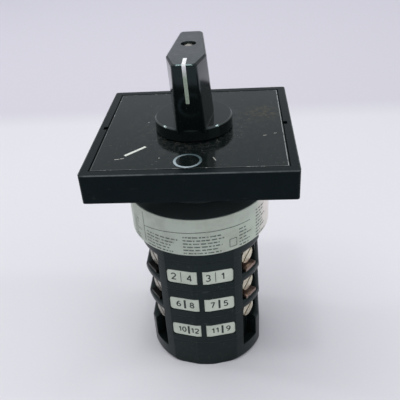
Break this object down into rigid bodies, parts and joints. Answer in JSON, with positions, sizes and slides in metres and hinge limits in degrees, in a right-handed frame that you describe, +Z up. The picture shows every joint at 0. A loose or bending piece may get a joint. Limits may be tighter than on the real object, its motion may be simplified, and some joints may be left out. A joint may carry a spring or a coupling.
{
  "type": "rotary cam switch",
  "caption": "Panel rotary cam switch: knob on a square front plate, latch drum and stacked contact stages with screw terminals, turning between off and on.",
  "frame": {"origin": "centre of the underside of the end cap, on the shaft axis", "axes": "+Z up along the shaft towards the knob, -Y is the front with the terminal numbers and the off mark, +X to the right seen from the front"},
  "size_m": [0.064, 0.064, 0.1193],
  "materials": {
    "knob_plastic": "glossy black moulded plastic",
    "plate_plastic": "glossy black moulded plastic",
    "legend_sheet": "satin dark grey laminate with worn silver edges",
    "housing_moulding": "satin black phenolic moulding",
    "label_film": "pale greenish white printed plate",
    "band_film": "pale printed film",
    "screw_nickel": "nickel plated, slightly yellowed",
    "zinc_steel": "zinc plated steel",
    "contact_copper": "dull copper",
    "insert_brass": "plain brass",
    "cam_plastic": "off-white moulded plastic",
    "plunger_plastic": "red-brown moulded plastic",
    "spring_steel": "bright spring steel"
  },
  "bodies": {
    "switch_body": {"back_leaf_spring": "spring_steel", "end_cap": "housing_moulding", "front_leaf_spring": "spring_steel", "latch_housing": "housing_moulding", "latch_lid": "housing_moulding", "legend_plate": "legend_sheet", "plate_frame": "plate_plastic", "plate_screws": "zinc_steel", "rating_band": "band_film", "stack_lid": "housing_moulding", "stage_1_back_spring": "spring_steel", "stage_1_clamp_washers": "zinc_steel", "stage_1_fixed_contacts": "contact_copper", "stage_1_front_spring": "spring_steel", "stage_1_housing": "housing_moulding", "stage_1_label_left": "label_film", "stage_1_label_right": "label_film", "stage_1_terminal_screws": "screw_nickel", "stage_2_back_spring": "spring_steel", "stage_2_clamp_washers": "zinc_steel", "stage_2_fixed_contacts": "contact_copper", "stage_2_front_spring": "spring_steel", "stage_2_housing": "housing_moulding", "stage_2_label_left": "label_film", "stage_2_label_right": "label_film", "stage_2_terminal_screws": "screw_nickel", "stage_3_back_spring": "spring_steel", "stage_3_clamp_washers": "zinc_steel", "stage_3_fixed_contacts": "contact_copper", "stage_3_front_spring": "spring_steel", "stage_3_housing": "housing_moulding", "stage_3_label_left": "label_film", "stage_3_label_right": "label_film", "stage_3_terminal_screws": "screw_nickel", "threaded_inserts": "insert_brass", "tie_bolts": "zinc_steel", "tie_nuts": "zinc_steel"},
    "rotor": {"knob": "knob_plastic", "knob_screw": "zinc_steel", "shaft": "zinc_steel", "shaft_clip": "spring_steel", "index_wheel": "cam_plastic", "stop_disc": "cam_plastic", "stage_1_cam": "cam_plastic", "stage_2_cam": "cam_plastic", "stage_3_cam": "cam_plastic"},
    "stage_1_front_contact": {"stage_1_front_plunger": "plunger_plastic", "stage_1_front_bridge": "contact_copper"},
    "stage_1_back_contact": {"stage_1_back_plunger": "plunger_plastic", "stage_1_back_bridge": "contact_copper"},
    "stage_2_front_contact": {"stage_2_front_plunger": "plunger_plastic", "stage_2_front_bridge": "contact_copper"},
    "stage_2_back_contact": {"stage_2_back_plunger": "plunger_plastic", "stage_2_back_bridge": "contact_copper"},
    "stage_3_front_contact": {"stage_3_front_plunger": "plunger_plastic", "stage_3_front_bridge": "contact_copper"},
    "stage_3_back_contact": {"stage_3_back_plunger": "plunger_plastic", "stage_3_back_bridge": "contact_copper"}
  },
  "joints": [
    {"name": "knob_turn", "type": "hinge", "parent": "switch_body", "child": "rotor", "pos_m": [0, 0, 0.0919], "axis": [0, 0, -1], "range_deg": [0, 45], "deforming": ["front_leaf_spring", "back_leaf_spring"]},
    {"name": "stage_1_front_slide", "type": "slide", "parent": "switch_body", "child": "stage_1_front_contact", "axis": [0, 1, 0], "range_m": [0, 0.002], "deforming": ["stage_1_front_spring"]},
    {"name": "stage_1_back_slide", "type": "slide", "parent": "switch_body", "child": "stage_1_back_contact", "axis": [0, -1, 0], "range_m": [0, 0.002], "deforming": ["stage_1_back_spring"]},
    {"name": "stage_2_front_slide", "type": "slide", "parent": "switch_body", "child": "stage_2_front_contact", "axis": [0, 1, 0], "range_m": [0, 0.002], "deforming": ["stage_2_front_spring"]},
    {"name": "stage_2_back_slide", "type": "slide", "parent": "switch_body", "child": "stage_2_back_contact", "axis": [0, -1, 0], "range_m": [0, 0.002], "deforming": ["stage_2_back_spring"]},
    {"name": "stage_3_front_slide", "type": "slide", "parent": "switch_body", "child": "stage_3_front_contact", "axis": [0, 1, 0], "range_m": [0, 0.002], "deforming": ["stage_3_front_spring"]},
    {"name": "stage_3_back_slide", "type": "slide", "parent": "switch_body", "child": "stage_3_back_contact", "axis": [0, -1, 0], "range_m": [0, 0.002], "deforming": ["stage_3_back_spring"]}
  ],
  "couplings": [
    {"joint": "stage_1_front_slide", "follows": "knob_turn", "m_per_rad": 0.0025464},
    {"joint": "stage_1_back_slide", "follows": "knob_turn", "m_per_rad": 0.0025464},
    {"joint": "stage_2_front_slide", "follows": "knob_turn", "m_per_rad": 0.0025464},
    {"joint": "stage_2_back_slide", "follows": "knob_turn", "m_per_rad": 0.0025464},
    {"joint": "stage_3_front_slide", "follows": "knob_turn", "m_per_rad": 0.0025464},
    {"joint": "stage_3_back_slide", "follows": "knob_turn", "m_per_rad": 0.0025464}
  ]
}
